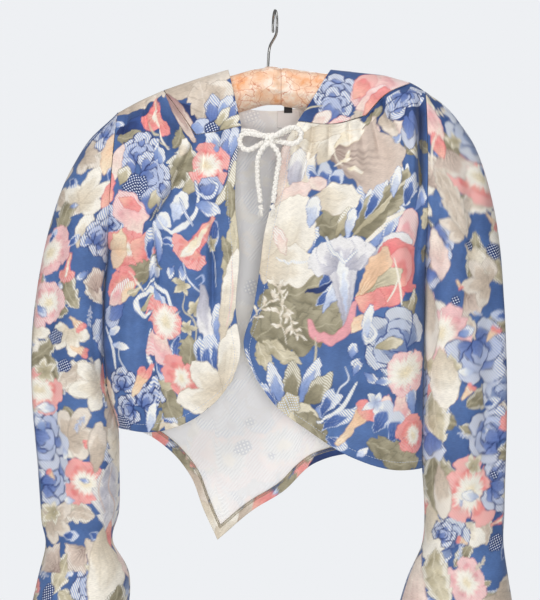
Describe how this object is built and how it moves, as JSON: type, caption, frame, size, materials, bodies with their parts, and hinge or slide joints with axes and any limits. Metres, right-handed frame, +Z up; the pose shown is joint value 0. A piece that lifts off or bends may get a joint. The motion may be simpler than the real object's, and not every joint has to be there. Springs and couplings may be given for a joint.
{
  "type": "cropped jacket on padded hanger",
  "caption": "Cropped open-front jacket in a floral print cloth, with long flared sleeves and a cord bow at the neck, hung on a padded satin hanger with a wire hook.",
  "frame": {"origin": "the underside of the hook's crown, where the hanger bears on a rod", "axes": "+Z up; +X to the right of a viewer who faces the jacket; -Y towards that viewer"},
  "size_m": [0.5876, 0.1002, 0.7423],
  "materials": {
    "print_cloth": "printed and woven floral cloth, blue ground",
    "yoke_cloth": "the same cloth where its flowers are pale",
    "label_white": "plain white woven label",
    "tab_black": "plain black woven tab",
    "satin_peach": "printed peach satin over padding",
    "cord_cream": "soft braided cord",
    "hook_steel": "plated wire"
  },
  "bodies": {
    "root": {"back": "print_cloth", "back_hem": "print_cloth", "left_front": "print_cloth", "right_front": "print_cloth", "left_yoke": "yoke_cloth", "right_yoke": "yoke_cloth", "left_sleeve": "print_cloth", "right_sleeve": "print_cloth", "care_label": "label_white", "size_tab": "tab_black", "hanger_pad": "satin_peach", "hanger_hook": "hook_steel", "tie_left_lead": "cord_cream", "tie_left_loop": "cord_cream", "tie_left_tail": "cord_cream", "tie_right_lead": "cord_cream", "tie_right_loop": "cord_cream", "tie_right_tail": "cord_cream", "tie_knot": "cord_cream", "tie_left_end": "cord_cream", "tie_right_end": "cord_cream"}
  },
  "joints": []
}
